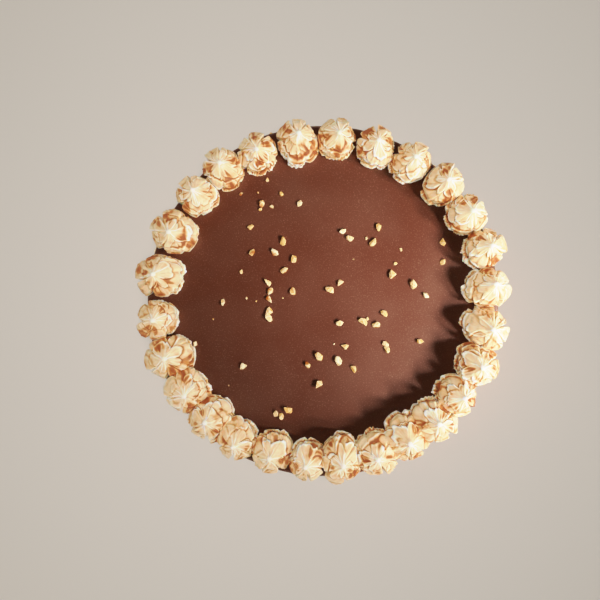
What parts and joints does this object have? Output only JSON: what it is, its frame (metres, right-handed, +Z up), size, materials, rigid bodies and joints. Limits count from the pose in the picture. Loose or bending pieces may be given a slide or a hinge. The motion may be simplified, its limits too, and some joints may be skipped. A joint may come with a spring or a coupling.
{
  "type": "chocolate torte",
  "caption": "Round uncut torte under a smooth chocolate glaze, with a ring of piped marbled cream rosettes round its top edge and chopped nuts on its top and side.",
  "frame": {"origin": "centre of the round cake's flat underside", "axes": "+Z up out of the cake's top; +X to the right and +Y to the top of the picture, which looks straight down"},
  "size_m": [0.2653, 0.2583, 0.0675],
  "materials": {
    "chocolate_glaze": "satin chocolate glaze, spread with a spatula, with the nuts fused to it in the solids",
    "whipped_cream": "soft piped cream marbled with caramel",
    "chopped_nuts": "dry chopped nut pieces, pale yellow with some tan skin"
  },
  "bodies": {
    "root": {"cake": "chocolate_glaze", "rosette_01": "whipped_cream", "rosette_02": "whipped_cream", "rosette_03": "whipped_cream", "rosette_04": "whipped_cream", "rosette_05": "whipped_cream", "rosette_06": "whipped_cream", "rosette_07": "whipped_cream", "rosette_08": "whipped_cream", "rosette_09": "whipped_cream", "rosette_10": "whipped_cream", "rosette_11": "whipped_cream", "rosette_12": "whipped_cream", "rosette_13": "whipped_cream", "rosette_14": "whipped_cream", "rosette_15": "whipped_cream", "rosette_16": "whipped_cream", "rosette_17": "whipped_cream", "rosette_18": "whipped_cream", "rosette_19": "whipped_cream", "rosette_20": "whipped_cream", "rosette_21": "whipped_cream", "rosette_22": "whipped_cream", "rosette_23": "whipped_cream", "rosette_24": "whipped_cream", "rosette_25": "whipped_cream", "rosette_26": "whipped_cream", "rosette_27": "whipped_cream"}
  },
  "joints": []
}
